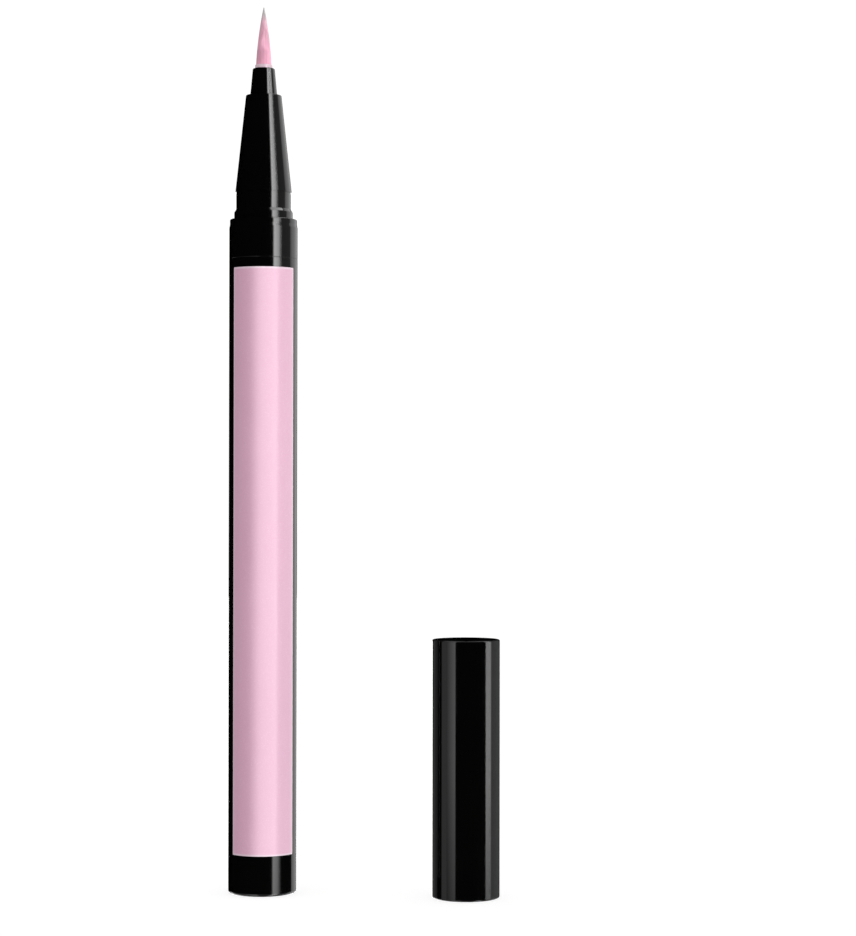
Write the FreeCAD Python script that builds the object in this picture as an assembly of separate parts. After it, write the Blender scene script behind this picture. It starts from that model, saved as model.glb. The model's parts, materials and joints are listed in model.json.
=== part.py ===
import FreeCAD
import Part
import math
import os

# A liquid eyeliner pen standing on its tail with the nib up, and its cap standing beside it on its mouth.
# All sizes are millimetres and all angles degrees. The origin is the centre of the pen's flat tail,
# +Z runs up the pen to the nib, and the colour panel faces -Y.

# Barrel and colour panel
barrel_diameter = 10.0
barrel_length = 92.7
barrel_wall = 1.3
tail_edge_round = 0.4
seam_round = 0.05
panel_angle = 122.0
panel_tail_margin = 5.75
panel_front_margin = 1.35
panel_thickness = 0.3
panel_proud = 0.05
panel_edge_round = 0.06
panel_gap = 0.03

# Fits shared by every joint between pieces
press_clearance = 0.02
slide_clearance = 0.08
end_clearance = 0.1

# Tail plug, ink tank, tank stopper and mixing ball
tail_plug_length = 20.0
tail_plug_floor = 1.8
tail_plug_wall = 0.8
tank_wall = 1.0
stopper_length = 7.0
stopper_wall = 0.7
ball_diameter = 3.0

# Comb collector that meters the ink, and the fibre wick through it
collector_plug_length = 4.0
collector_flange_thickness = 1.0
collector_core_wall = 0.75
nozzle_wall = 0.45
fin_pitch = 0.85
fin_thickness = 0.35
air_slot_width = 0.3
wick_diameter = 1.4
wick_dip = 2.0

# Nose section: spigot, collar, shoulder, cap neck and cone
spigot_length = 11.7
nose_wall = 0.9
nose_taper_length = 6.5
collar_length = 5.8
shoulder_width = 0.72
lip_drop = 0.1
lip_height = 0.75
lip_run = 0.5
lip_round = 0.15
neck_ring_height = 1.5
neck_ring_bevel = 0.45
groove_depth = 0.29
groove_height = 1.95
bead_rise = 0.14
bead_half_height = 0.5
bead_round = 0.15
cone_base_rise = 0.09
cone_length = 13.83
cone_tip_round = 0.12

# Nib, nib sleeve and nib holder
nib_diameter = 2.3
nib_length = 8.5
nib_root_length = 9.0
nib_point_radius = 0.06
nib_side_bulge = 0.15
sleeve_wall = 0.09
sleeve_stand = 0.35
sleeve_edge_round = 0.04
holder_length = 4.15
holder_tip_wall = 0.33
holder_tip_round = 0.15
holder_flare = 0.37
holder_stem_inset = 0.23
holder_stem_length = 6.8
ledge_width = 0.62

# Cap: shell with its snap bead, liner, sprung inner cap and coil spring
cap_inset = 0.1
cap_end_wall = 1.1
cap_top_round = 0.4
cap_rim_round = 0.2
snap_height = 0.5
snap_run = 0.5
liner_start = 8.0
liner_wall = 0.5
liner_collar = 2.0
nose_clearance = 0.25
inner_cap_wall = 0.6
inner_cap_roof = 0.8
inner_cap_flange = 0.3
inner_cap_rim_round = 0.1
seal_gap = 0.17
seal_stroke = 1.5
nib_tip_clearance = 0.7
spring_boss_height = 0.6
spring_room = 3.4
spring_wire = 0.4
spring_turns = 5
spring_bends_per_turn = 4
gap_points_per_turn = 48

# Where the cap stands, from the pen's axis to the cap's
cap_stand_x = 29.4
cap_stand_y = -6.2

# Radii that follow from the barrel, outside to inside
barrel_radius = barrel_diameter / 2
barrel_bore = barrel_radius - barrel_wall
plug_radius = barrel_bore - press_clearance
tank_radius = barrel_bore - slide_clearance
tank_bore = tank_radius - tank_wall
stopper_radius = tank_bore - press_clearance
nose_bore = plug_radius - nose_wall
fin_radius = nose_bore - slide_clearance
wick_radius = wick_diameter / 2
wick_bore = wick_radius + press_clearance
collector_core = wick_bore + collector_core_wall
nozzle_radius = wick_bore + nozzle_wall
ball_radius = ball_diameter / 2

# Heights up the pen, tail to nib
spigot_end = barrel_length - spigot_length
tank_front = spigot_end - collector_flange_thickness
tank_back = tail_plug_length
stopper_top = tank_back + stopper_length
collector_back = tank_front - collector_plug_length
wick_back = collector_back - wick_dip
shoulder = barrel_length + collar_length
neck_ring_top = shoulder + neck_ring_height
groove_top = neck_ring_top + groove_height
bead_top = groove_top + bead_half_height
cone_base = bead_top + bead_half_height
ledge = cone_base + cone_length
holder_top = ledge + holder_length
holder_back = ledge - holder_stem_length
sleeve_top = holder_top + sleeve_stand
sleeve_back = holder_back + end_clearance
nib_tip = sleeve_top + nib_length
nib_back = sleeve_top - nib_root_length
collector_front = holder_back - end_clearance
nose_taper_start = holder_back - nose_taper_length
first_fin = spigot_end + fin_pitch
fin_count = int((nose_taper_start - first_fin - fin_thickness) / fin_pitch) + 1
fins_end = first_fin + (fin_count - 1) * fin_pitch + fin_thickness

# Radii of the neck, and of the nose from the nib outwards
neck_ring_radius = barrel_radius - shoulder_width
groove_radius = neck_ring_radius - groove_depth
bead_radius = groove_radius + bead_rise
cone_base_radius = groove_radius + cone_base_rise
nib_radius = nib_diameter / 2
sleeve_bore = nib_radius + press_clearance
sleeve_radius = sleeve_bore + sleeve_wall
holder_bore = sleeve_radius + press_clearance
holder_tip_radius = holder_bore + holder_tip_wall
holder_base_radius = holder_tip_radius + holder_flare
holder_stem = holder_base_radius - holder_stem_inset
front_bore = holder_stem + press_clearance
cone_tip_radius = holder_base_radius + ledge_width

# Radii of the cap, outside to inside
cap_radius = barrel_radius - cap_inset
cap_bore = neck_ring_radius + slide_clearance
snap_radius = groove_radius + slide_clearance
liner_radius = cap_bore - press_clearance
inner_cap_bore = holder_base_radius + seal_gap
inner_cap_radius = inner_cap_bore + inner_cap_wall
guide_bore = inner_cap_radius + slide_clearance
flange_radius = guide_bore + inner_cap_flange
spring_radius = flange_radius - spring_wire
spring_boss = spring_radius - spring_wire

# Heights in the cap from its rim, which meets the shoulder when the cap is on, with the inner cap sprung out
snap_middle = neck_ring_height + groove_height / 2
cap_ledge = ledge - shoulder
cap_nib_tip = nib_tip - shoulder
seated_roof = cap_nib_tip + nib_tip_clearance
seated_top = seated_roof + inner_cap_roof
cap_end = seated_top + spring_room
cap_height = cap_end + cap_end_wall
inner_rim = cap_ledge - seal_stroke
inner_roof = seated_roof - seal_stroke
inner_top = seated_top - seal_stroke
flange_seat = inner_top - inner_cap_roof

ORIGIN = FreeCAD.Vector(0, 0, 0)
UP = FreeCAD.Vector(0, 0, 1)
PANEL_FACING = -90.0


def cone_radius(height):
    """Outer radius of the nose cone at a height above the shoulder."""
    share = (height - (cone_base - shoulder)) / cone_length
    return cone_base_radius + share * (cone_tip_radius - cone_base_radius)


def rounded_corner(before, corner, after, radius):
    """Start, middle and end of the arc that rounds one corner of an outline."""
    back = (before - corner).normalize()
    ahead = (after - corner).normalize()
    half = back.getAngle(ahead) / 2
    reach = radius / math.tan(half)
    inward = (back + ahead).normalize()
    middle = corner + inward * (radius / math.sin(half) - radius)
    return corner + back * reach, middle, corner + ahead * reach


def outline_wire(points):
    """Closed wire through (radius, height) points; a third number in a point rounds its corner."""
    corners = [FreeCAD.Vector(point[0], 0, point[1]) for point in points]
    stretches = []
    for i, point in enumerate(points):
        if len(point) > 2:
            after = corners[(i + 1) % len(corners)]
            stretches.append(rounded_corner(corners[i - 1], corners[i], after, point[2]))
        else:
            stretches.append((corners[i], None, corners[i]))
    edges = []
    for i, (start, middle, end) in enumerate(stretches):
        if middle is not None:
            edges.append(Part.Arc(start, middle, end).toShape())
        edges.append(Part.LineSegment(end, stretches[(i + 1) % len(stretches)][0]).toShape())
    return Part.Wire(edges)


def turned(wire, degrees=360.0):
    """Solid swept by a closed outline that turns about the Z axis."""
    solid = Part.Face(wire).revolve(ORIGIN, UP, degrees)
    if solid.Volume < 0:
        solid.reverse()
    return solid


def tube(inner, outer, bottom, top):
    """Plain straight tube."""
    return turned(outline_wire([(inner, bottom), (outer, bottom), (outer, top), (inner, top)]))


def panel_sector(points, degrees):
    """Part of a turned ring, centred on the side that the panel faces."""
    sector = turned(outline_wire(points), degrees)
    sector.rotate(ORIGIN, UP, PANEL_FACING - degrees / 2)
    return sector


def barrel():
    """Black outer tube with a shallow recess for the colour panel."""
    shell = turned(outline_wire([
        (barrel_bore, 0),
        (barrel_radius, 0, tail_edge_round),
        (barrel_radius, barrel_length, seam_round),
        (barrel_bore, barrel_length),
    ]))
    floor = barrel_radius + panel_proud - panel_thickness - press_clearance
    bottom = panel_tail_margin - panel_gap
    top = barrel_length - panel_front_margin + panel_gap
    past = barrel_radius + panel_thickness
    gap_angle = math.degrees(panel_gap / barrel_radius)
    recess = [(floor, bottom), (past, bottom), (past, top), (floor, top)]
    return shell.cut(panel_sector(recess, panel_angle + 2 * gap_angle))


def colour_panel():
    """Curved inlay in the barrel's front that shows the shade."""
    outer = barrel_radius + panel_proud
    inner = outer - panel_thickness
    bottom = panel_tail_margin
    top = barrel_length - panel_front_margin
    return panel_sector([
        (inner, bottom),
        (outer, bottom, panel_edge_round),
        (outer, top, panel_edge_round),
        (inner, top),
    ], panel_angle)


def tail_plug():
    """Cup pressed into the barrel's tail, whose rim carries the ink tank."""
    inside = plug_radius - tail_plug_wall
    return turned(outline_wire([
        (0, 0),
        (plug_radius, 0, seam_round),
        (plug_radius, tail_plug_length),
        (inside, tail_plug_length),
        (inside, tail_plug_floor),
        (0, tail_plug_floor),
    ]))


def ink_tank():
    """Inner tube that holds the ink."""
    return tube(tank_bore, tank_radius, tank_back, tank_front)


def tank_stopper():
    """Cup that closes the tank's back end after filling."""
    inside = stopper_radius - stopper_wall
    return turned(outline_wire([
        (0, stopper_top),
        (0, stopper_top - stopper_wall),
        (inside, stopper_top - stopper_wall),
        (inside, tank_back),
        (stopper_radius, tank_back),
        (stopper_radius, stopper_top, seam_round),
    ]))


def mixing_ball():
    """Loose ball that stirs the pigment, resting on the stopper."""
    return Part.makeSphere(ball_radius, FreeCAD.Vector(0, 0, stopper_top + slide_clearance + ball_radius))


def collector():
    """Bored comb that holds spare ink between its fins, with a plug in the tank and a flange against it."""
    outline = [
        (wick_bore, collector_back),
        (stopper_radius, collector_back),
        (stopper_radius, tank_front),
        (plug_radius, tank_front),
        (plug_radius, spigot_end),
        (collector_core, spigot_end),
    ]
    for i in range(fin_count):
        bottom = first_fin + i * fin_pitch
        top = bottom + fin_thickness
        outline += [(collector_core, bottom), (fin_radius, bottom), (fin_radius, top), (collector_core, top)]
    outline += [(nozzle_radius, fins_end), (nozzle_radius, collector_front), (wick_bore, collector_front)]
    comb = turned(outline_wire(outline))
    air_slot = Part.makeBox(air_slot_width, fin_radius, fins_end - first_fin)
    air_slot.translate(FreeCAD.Vector(-air_slot_width / 2, collector_core, first_fin))
    return comb.cut(air_slot)


def relay_wick():
    """Fibre rod that draws ink from the tank to the nib's root."""
    return Part.makeCylinder(wick_radius, nib_back - wick_back, FreeCAD.Vector(0, 0, wick_back))


def nose_section():
    """Front moulding: spigot in the barrel, flush collar, shoulder, neck with groove and bead, and cone."""
    lip_radius = barrel_radius - lip_drop
    return turned(outline_wire([
        (nose_bore, spigot_end),
        (plug_radius, spigot_end),
        (plug_radius, barrel_length),
        (barrel_radius, barrel_length, seam_round),
        (barrel_radius, shoulder - lip_height - lip_run),
        (lip_radius, shoulder - lip_height),
        (lip_radius, shoulder, lip_round),
        (neck_ring_radius, shoulder),
        (neck_ring_radius, neck_ring_top - neck_ring_bevel),
        (groove_radius, neck_ring_top),
        (groove_radius, groove_top),
        (bead_radius, bead_top, bead_round),
        (cone_base_radius, cone_base),
        (cone_tip_radius, ledge, cone_tip_round),
        (front_bore, ledge),
        (front_bore, holder_back),
        (nose_bore, nose_taper_start),
    ]))


def nib_holder():
    """Stepped tip pressed into the cone, bored for the nib's sleeve."""
    return turned(outline_wire([
        (holder_bore, holder_back),
        (holder_stem, holder_back),
        (holder_stem, ledge),
        (holder_base_radius, ledge),
        (holder_tip_radius, holder_top, min(holder_tip_round, holder_tip_wall / 2)),
        (holder_bore, holder_top),
    ]))


def nib_sleeve():
    """Thin pale tube round the nib's root, standing a little out of the holder."""
    return turned(outline_wire([
        (sleeve_bore, sleeve_back),
        (sleeve_radius, sleeve_back),
        (sleeve_radius, sleeve_top, min(sleeve_edge_round, sleeve_wall / 2)),
        (sleeve_bore, sleeve_top),
    ]))


def nib():
    """Fibre nib: a round root, and a point whose side is one slightly swollen arc."""
    root = FreeCAD.Vector(nib_radius, 0, nib_back)
    start = FreeCAD.Vector(nib_radius, 0, sleeve_top)
    end = FreeCAD.Vector(nib_point_radius, 0, nib_tip)
    outward = (end - start).normalize().cross(FreeCAD.Vector(0, -1, 0))
    middle = (start + end) * 0.5 + outward * nib_side_bulge
    top = FreeCAD.Vector(0, 0, nib_tip)
    back = FreeCAD.Vector(0, 0, nib_back)
    return turned(Part.Wire([
        Part.LineSegment(back, root).toShape(),
        Part.LineSegment(root, start).toShape(),
        Part.Arc(start, middle, end).toShape(),
        Part.LineSegment(end, top).toShape(),
        Part.LineSegment(top, back).toShape(),
    ]))


def cap_shell():
    """Closed outer tube of the cap, with a bead that snaps into the neck's groove and a spring boss."""
    return turned(outline_wire([
        (0, cap_end - spring_boss_height),
        (spring_boss, cap_end - spring_boss_height),
        (spring_boss, cap_end),
        (cap_bore, cap_end),
        (cap_bore, snap_middle + snap_height / 2 + snap_run),
        (snap_radius, snap_middle + snap_height / 2),
        (snap_radius, snap_middle - snap_height / 2),
        (cap_bore, snap_middle - snap_height / 2 - snap_run),
        (cap_bore, 0),
        (cap_radius, 0, min(cap_rim_round, (cap_radius - cap_bore) / 2)),
        (cap_radius, cap_height, cap_top_round),
        (0, cap_height),
    ]))


def cap_liner():
    """Sleeve in the cap that clears the nose cone and guides the inner cap, whose flange rests on its end."""
    slope = (cone_base_radius - cone_tip_radius) / cone_length
    entry = cone_radius(liner_start) + nose_clearance
    guide_start = liner_start + (entry - guide_bore) / slope
    return turned(outline_wire([
        (entry, liner_start),
        (liner_radius, liner_start),
        (liner_radius, guide_start),
        (guide_bore + liner_wall, guide_start),
        (guide_bore + liner_wall, flange_seat - liner_collar),
        (liner_radius, flange_seat - liner_collar),
        (liner_radius, flange_seat),
        (guide_bore, flange_seat),
        (guide_bore, guide_start),
    ]))


def inner_cap():
    """Sprung cup that seals round the nib against the nose section's ledge."""
    boss_top = inner_top + spring_boss_height
    return turned(outline_wire([
        (inner_cap_bore, inner_rim, inner_cap_rim_round),
        (inner_cap_radius, inner_rim, inner_cap_rim_round),
        (inner_cap_radius, flange_seat),
        (flange_radius, flange_seat),
        (flange_radius, inner_top),
        (spring_boss, inner_top),
        (spring_boss, boss_top),
        (0, boss_top),
        (0, inner_roof),
        (inner_cap_bore, inner_roof),
    ]))


def tangent_arc(start, corner, end):
    """Arc from start to end that is tangent to the two equal lines meeting at corner."""
    half = (corner - start).getAngle(end - corner) / 2
    chord_middle = (start + end) * 0.5
    middle = chord_middle + (corner - chord_middle) * (math.cos(half) / (1 + math.cos(half)))
    return Part.Arc(start, middle, end).toShape()


def biarc(start, start_way, end, end_way):
    """Two arcs that join start to end and leave and arrive along the given unit directions."""
    across = end - start
    ways = start_way + end_way
    spread = 2 * (1 - start_way.dot(end_way))
    along = across.dot(ways)
    reach = (math.sqrt(along ** 2 + spread * across.dot(across)) - along) / spread
    first = start + start_way * reach
    second = end - end_way * reach
    joint = (first + second) * 0.5
    return [tangent_arc(start, first, joint), tangent_arc(joint, second, end)]


def turn_gap(path):
    """Least gap between the wire and the wire at least half a turn further on, measured on points."""
    points = path.discretize(spring_turns * gap_points_per_turn + 1)
    gap = path.Length
    for i, point in enumerate(points):
        for later in points[i + gap_points_per_turn // 2:]:
            gap = min(gap, point.distanceToPoint(later) - spring_wire)
    return gap


def inner_cap_spring():
    """Coil spring between the inner cap's roof and the cap's end, as one wire of even pitch."""
    bottom = inner_top + spring_wire / 2 + press_clearance
    top = cap_end - spring_wire / 2 - press_clearance
    steps = spring_turns * spring_bends_per_turn
    rise_per_radian = (top - bottom) / (2 * math.pi * spring_turns)

    def place(step):
        turn = 2 * math.pi * step / spring_bends_per_turn
        return FreeCAD.Vector(
            spring_radius * math.cos(turn), spring_radius * math.sin(turn), bottom + rise_per_radian * turn)

    def way(step):
        turn = 2 * math.pi * step / spring_bends_per_turn
        return FreeCAD.Vector(
            -spring_radius * math.sin(turn), spring_radius * math.cos(turn), rise_per_radian).normalize()

    edges = []
    for step in range(steps):
        edges += biarc(place(step), way(step), place(step + 1), way(step + 1))
    path = Part.Wire(edges)
    print(f"spring: least gap between turns {turn_gap(path):.3f} mm")
    section = Part.Wire(Part.Circle(place(0), way(0), spring_wire / 2).toShape())
    return path.makePipeShell([section], True, False)


PEN_PIECES = [
    barrel, colour_panel, tail_plug, ink_tank, tank_stopper, mixing_ball, collector, relay_wick,
    nose_section, nib_holder, nib_sleeve, nib,
]
CAP_PIECES = [cap_shell, cap_liner, inner_cap, inner_cap_spring]

os.makedirs("parts", exist_ok=True)
for piece in PEN_PIECES + CAP_PIECES:
    shape = piece()
    if piece in CAP_PIECES:
        shape.translate(FreeCAD.Vector(cap_stand_x, cap_stand_y, 0))
    shape.exportStep(f"parts/{piece.__name__}.step")
    print(f"{piece.__name__}: {len(shape.Solids)} solid, {shape.Volume:.3f} mm3, valid {shape.isValid()}")
print(f"pen {nib_tip:.2f} mm, cap {cap_height:.2f} mm, capped {shoulder + cap_height:.2f} mm")
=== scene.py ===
"""Liquid eyeliner pen and its cap: the visible pieces and their finishes, built round the packed frame.

The sizes, colours and studio settings are property groups, and each piece has an operator of its own.
"""
import json
import math
import random
from typing import NamedTuple

import bmesh
import bpy
from bpy.props import FloatProperty, FloatVectorProperty, IntProperty, PointerProperty
from mathutils import Matrix, Vector

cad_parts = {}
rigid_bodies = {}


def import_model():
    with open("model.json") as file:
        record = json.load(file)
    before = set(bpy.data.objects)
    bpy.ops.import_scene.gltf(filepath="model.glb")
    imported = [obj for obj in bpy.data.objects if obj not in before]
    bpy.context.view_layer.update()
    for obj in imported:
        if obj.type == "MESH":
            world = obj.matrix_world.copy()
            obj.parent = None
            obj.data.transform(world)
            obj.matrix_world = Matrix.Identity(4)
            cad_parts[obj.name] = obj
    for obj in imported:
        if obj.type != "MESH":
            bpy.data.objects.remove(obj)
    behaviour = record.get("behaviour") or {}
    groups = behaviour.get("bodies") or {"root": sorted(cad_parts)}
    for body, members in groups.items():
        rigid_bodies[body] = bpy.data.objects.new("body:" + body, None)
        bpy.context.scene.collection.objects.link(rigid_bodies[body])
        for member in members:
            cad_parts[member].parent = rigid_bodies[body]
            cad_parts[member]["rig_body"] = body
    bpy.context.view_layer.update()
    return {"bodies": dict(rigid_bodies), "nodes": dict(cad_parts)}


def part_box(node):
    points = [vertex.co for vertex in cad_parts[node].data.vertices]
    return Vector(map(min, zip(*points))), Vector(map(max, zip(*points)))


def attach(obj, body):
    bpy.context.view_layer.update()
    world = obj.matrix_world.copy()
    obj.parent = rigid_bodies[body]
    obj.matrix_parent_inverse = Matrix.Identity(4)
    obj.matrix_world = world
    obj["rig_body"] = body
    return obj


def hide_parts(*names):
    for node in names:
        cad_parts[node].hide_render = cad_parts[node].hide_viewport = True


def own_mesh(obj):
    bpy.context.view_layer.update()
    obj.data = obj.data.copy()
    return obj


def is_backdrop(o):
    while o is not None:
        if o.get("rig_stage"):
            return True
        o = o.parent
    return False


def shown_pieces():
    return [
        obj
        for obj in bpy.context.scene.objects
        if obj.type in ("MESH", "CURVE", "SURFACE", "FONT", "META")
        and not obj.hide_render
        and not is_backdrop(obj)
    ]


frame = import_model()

bl_info = {
    "name": "Eyeliner Pen Dressing",
    "version": (1, 0, 0),
    "blender": (4, 5, 0),
    "location": "View3D > Sidebar > Pen",
    "description": "Models and finishes the visible pieces of a liquid eyeliner pen and its cap",
    "category": "Object",
}

# Lengths are in metres and angles in radians
MM = 0.001
MERGE = 1e-7
NEAR = 2e-6
NEAR_ANGLE = math.radians(0.1)
SHARP = math.radians(40.0)
RIGHT_ANGLE = math.radians(90.0)
ROUND_STEPS = 4
HOLD = 0.06 * MM
PANEL_FACING = math.radians(-89.0)
ORIGIN = Vector((0.0, 0.0, 0.0))
UP = Vector((0.0, 0.0, 1.0))
WHITE = (1.0, 1.0, 1.0, 1.0)
NOISE_MIDDLE = (0.3, 0.7)


def top(node):
    """Height of a CAD node's highest point."""
    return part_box(node)[1].z


def foot(node):
    """Height of a CAD node's lowest point."""
    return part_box(node)[0].z


def reach(node):
    """Outer radius of a turned CAD node."""
    low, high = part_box(node)
    return (high.x - low.x) / 2


def axis_of(node):
    """Where a turned CAD node's axis stands on the floor."""
    low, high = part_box(node)
    return ((low + high) / 2).to_2d()


def size(name, description, metres):
    """A length property."""
    return FloatProperty(name=name, description=description, default=metres, unit="LENGTH", precision=5)


def turn(name, description, degrees):
    """An angle property."""
    return FloatProperty(
        name=name, description=description, default=math.radians(degrees), subtype="ANGLE",
    )


def amount(name, description, default):
    """A plain number property."""
    return FloatProperty(name=name, description=description, default=default, min=0.0)


def count(name, description, default):
    """A whole number property."""
    return IntProperty(name=name, description=description, default=default, min=1)


def tint(name, description, red, green, blue):
    """A colour property, in linear light."""
    return FloatVectorProperty(
        name=name, description=description, default=(red, green, blue, 1.0),
        size=4, min=0.0, max=1.0, subtype="COLOR",
    )


class PenBarrelSizes(bpy.types.PropertyGroup):
    """Sizes of the barrel and its colour panel."""

    steps: count("Steps round", "Faces round the barrel, one for each degree", 360)
    radius: size("Barrel radius", "Outside radius of the barrel", reach("barrel"))
    bore: size("Barrel bore", "Inside radius of the barrel", 3.7 * MM)
    high: size("Barrel end", "Height of the seam with the nose section", top("barrel"))
    tail_round: size("Tail rounding", "Rounding of the tail's edge", 0.4 * MM)
    seam_round: size("Seam rounding", "Rounding of the edges at the seam", 0.05 * MM)
    panel_low: size("Panel foot", "Height of the panel's lower edge", foot("colour_panel") + 0.12 * MM)
    panel_high: size("Panel top", "Height of the panel's upper edge", top("colour_panel") - 0.08 * MM)
    panel_half: turn("Panel half angle", "Half of the angle that the panel wraps", 59.0)
    panel_proud: size("Panel stand", "How far the panel stands out of the barrel", 0.05 * MM)
    panel_depth: size("Panel thickness", "Thickness of the panel", 0.3 * MM)
    panel_edge: size("Panel edge rounding", "Rounding of the panel's outer edges", 0.2 * MM)
    panel_corner: size("Panel corner rounding", "Rounding of the panel's four corners", 0.15 * MM)
    # The pale band of this width round the panel's edge is a painted highlight, for the light that its
    # rounded rim catches.
    panel_border: size("Panel border", "Width of the panel's pale cut edge", 0.42 * MM)
    panel_gap: size("Panel gap", "Gap round the panel in its recess", 0.03 * MM)
    recess_depth: size("Recess depth", "Depth of the panel's recess", 0.27 * MM)


class PenNoseSizes(bpy.types.PropertyGroup):
    """Sizes of the nose section from its spigot to its ledge."""

    steps: count("Steps round", "Faces round the nose section", 256)
    radius: size("Collar radius", "Outside radius of the collar", reach("nose_section"))
    foot: size("Spigot foot", "Height of the spigot's end in the barrel", foot("nose_section"))
    spigot: size("Spigot radius", "Radius of the spigot in the barrel", 3.68 * MM)
    bore: size("Nose bore", "Radius of the hollow for the collector", 2.78 * MM)
    lip_radius: size("Lip radius", "Radius of the lip under the shoulder", 4.9 * MM)
    lip_height: size("Lip height", "Height of the lip under the shoulder", 0.75 * MM)
    lip_run: size("Lip run", "Length of the slope from the collar to the lip", 0.5 * MM)
    lip_round: size("Lip rounding", "Rounding of the shoulder's edge", 0.15 * MM)
    shoulder: size("Shoulder", "Height of the shoulder that stops the cap", 98.5 * MM)
    ring_radius: size("Neck ring radius", "Radius of the ring above the shoulder", 4.28 * MM)
    ring_height: size("Neck ring height", "Height of the neck ring with its bevel", 1.5 * MM)
    ring_bevel: size("Neck ring bevel", "Height of the slope into the groove", 0.45 * MM)
    groove_radius: size("Groove radius", "Radius of the cap's snap groove", 3.99 * MM)
    groove_height: size("Groove height", "Height of the cap's snap groove, up to the bead", 2.45 * MM)
    bead_radius: size("Bead radius", "Radius of the bead above the groove", 4.13 * MM)
    bead_height: size("Bead height", "Height of the bead above the groove", 0.5 * MM)
    cone_base: size("Cone base radius", "Radius of the cone at its foot", 4.08 * MM)
    cone_tip: size("Cone tip radius", "Radius of the cone at its ledge", 2.6 * MM)
    ledge: size("Ledge", "Height of the ledge that the inner cap seals on", top("nose_section"))
    ledge_round: size("Ledge rounding", "Rounding of the ledge's edge", 0.12 * MM)
    front_bore: size("Front bore", "Radius of the bore for the nib holder", 1.77 * MM)
    taper: size("Taper length", "Length of the hollow's taper", 6.5 * MM)
    crisp: size("Crisp rounding", "Rounding of the neck's crisp edges", 0.04 * MM)


class PenNibSizes(bpy.types.PropertyGroup):
    """Sizes of the nib holder, the sleeve and the nib."""

    steps: count("Steps round", "Faces round the holder and the sleeve", 160)
    holder_base: size("Holder base radius", "Radius of the holder on the ledge", reach("nib_holder"))
    holder_tip: size("Holder tip radius", "Radius of the holder at its end", 1.61 * MM)
    holder_stem: size("Holder stem radius", "Radius of the holder in the cone", 1.75 * MM)
    holder_bore: size("Holder bore", "Radius of the bore for the sleeve", 1.28 * MM)
    holder_foot: size("Holder foot", "Height of the holder's end in the cone", foot("nib_holder"))
    holder_high: size("Holder top", "Height of the holder's end", top("nib_holder") - 0.2 * MM)
    holder_round: size("Holder rounding", "Rounding of the holder's end", 0.15 * MM)
    sleeve_bore: size("Sleeve bore", "Inside radius of the sleeve", 1.17 * MM)
    sleeve_radius: size("Sleeve radius", "Outside radius of the sleeve", reach("nib_sleeve"))
    sleeve_foot: size("Sleeve foot", "Height of the sleeve's end in the holder", foot("nib_sleeve"))
    sleeve_high: size("Sleeve top", "Height of the sleeve's end", top("nib_sleeve"))
    sleeve_round: size("Sleeve rounding", "Rounding of the sleeve's end", 0.04 * MM)
    nib_radius: size("Nib radius", "Radius of the nib at its root", reach("nib"))
    nib_foot: size("Nib foot", "Height of the nib's end on the wick", foot("nib"))
    nib_tip: size("Nib tip", "Height of the nib's point", top("nib"))
    point: size("Point radius", "Radius of the nib's point", 0.06 * MM)
    bulge: size("Side bulge", "How far the nib's side swells from a straight line", 0.15 * MM)
    core_inset: size("Core inset", "How far the nib's core lies under its fibres", 0.05 * MM)
    core_steps: count("Core steps", "Faces round the nib's core", 64)
    core_rings: count("Core rings", "Rings along the nib's core", 16)
    fibres: count("Fibres", "Number of fibres laid round the nib", 300)
    fibre_radius: size("Fibre radius", "Radius of a fibre at the nib's root", 0.036 * MM)
    fibre_rings: count("Fibre rings", "Rings along a fibre", 7)
    fibre_sides: count("Fibre sides", "Sides of a fibre", 5)
    seed: count("Seed", "Seed of the fibres' places", 11)


class PenCapSizes(bpy.types.PropertyGroup):
    """Sizes of the cap's shell and of the spring in it."""

    steps: count("Steps round", "Faces round the cap", 256)
    radius: size("Cap radius", "Outside radius of the cap", reach("cap_shell"))
    bore: size("Cap bore", "Inside radius of the cap", 4.36 * MM)
    height: size("Cap height", "Height of the cap", top("cap_shell"))
    end_wall: size("End wall", "Thickness of the cap's end", 1.1 * MM)
    top_round: size("Top rounding", "Rounding of the cap's top edge", 0.22 * MM)
    rim_round: size("Rim rounding", "Rounding of the cap's rim", 0.2 * MM)
    snap_radius: size("Snap radius", "Radius inside the snap bead", 4.07 * MM)
    snap_middle: size("Snap height", "Height of the snap bead's middle", 2.475 * MM)
    snap_half: size("Snap half height", "Half of the snap bead's height", 0.25 * MM)
    snap_run: size("Snap run", "Length of the slopes to the snap bead", 0.5 * MM)
    boss_radius: size("Boss radius", "Radius of the boss that centres the spring", 2.33 * MM)
    boss_height: size("Boss height", "Height of the boss that centres the spring", 0.6 * MM)
    coil_radius: size("Coil radius", "Radius of the spring to the middle of its wire", 2.73 * MM)
    wire_radius: size("Wire radius", "Radius of the spring's wire", 0.2 * MM)
    coil_low: size("Coil foot", "Height of the spring's lowest point", foot("inner_cap_spring"))
    coil_high: size("Coil top", "Height of the spring's highest point", top("inner_cap_spring"))
    coils: count("Coils", "Number of the spring's turns", 5)
    coil_steps: count("Coil steps", "Steps in one turn of the spring", 40)
    wire_sides: count("Wire sides", "Sides of the spring's wire", 12)


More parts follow.
